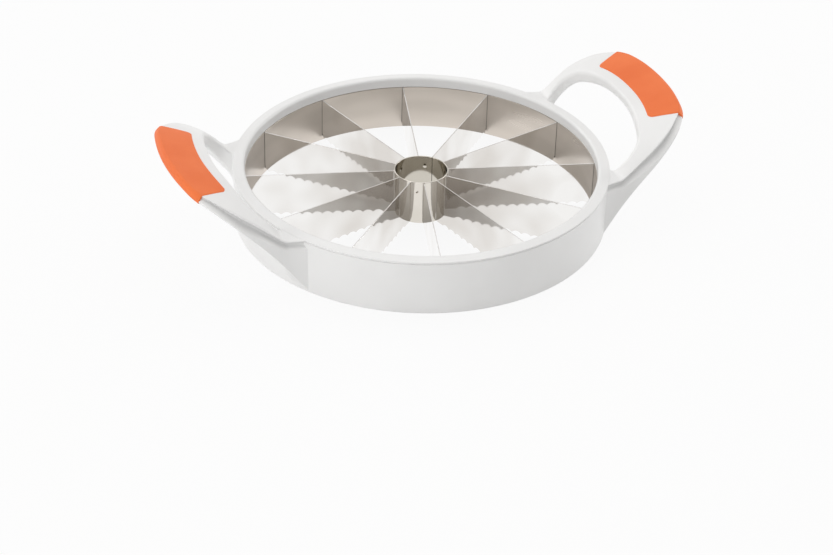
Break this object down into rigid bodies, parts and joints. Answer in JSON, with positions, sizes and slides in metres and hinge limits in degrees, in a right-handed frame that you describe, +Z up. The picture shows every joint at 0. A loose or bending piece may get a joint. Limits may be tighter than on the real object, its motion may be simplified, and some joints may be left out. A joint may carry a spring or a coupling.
{
  "type": "melon slicer",
  "caption": "Push-down melon slicer: a plastic ring with two raised loop handles and soft grips round a steel liner, a core tube and radial scalloped blades.",
  "frame": {"origin": "on the ring's axis, at the plane of the ring's bottom edge", "axes": "+X along the two handles, +Z up along the ring's axis, +Y completes the right-handed frame"},
  "size_m": [0.3594, 0.2568, 0.0755],
  "materials": {
    "white_plastic": "satin white moulded plastic",
    "soft_grip": "matte orange soft plastic",
    "liner_steel": "bright rolled stainless strip",
    "core_steel": "bright rolled stainless tube",
    "blade_steel": "polished stainless sheet"
  },
  "bodies": {
    "root": {"frame_ring": "white_plastic", "handle_left": "white_plastic", "handle_right": "white_plastic", "grip_left": "soft_grip", "grip_right": "soft_grip", "liner_band": "liner_steel", "core_tube": "core_steel", "blade_01": "blade_steel", "blade_02": "blade_steel", "blade_03": "blade_steel", "blade_04": "blade_steel", "blade_05": "blade_steel", "blade_06": "blade_steel", "blade_07": "blade_steel", "blade_08": "blade_steel", "blade_09": "blade_steel", "blade_10": "blade_steel", "blade_11": "blade_steel", "blade_12": "blade_steel"}
  },
  "joints": []
}
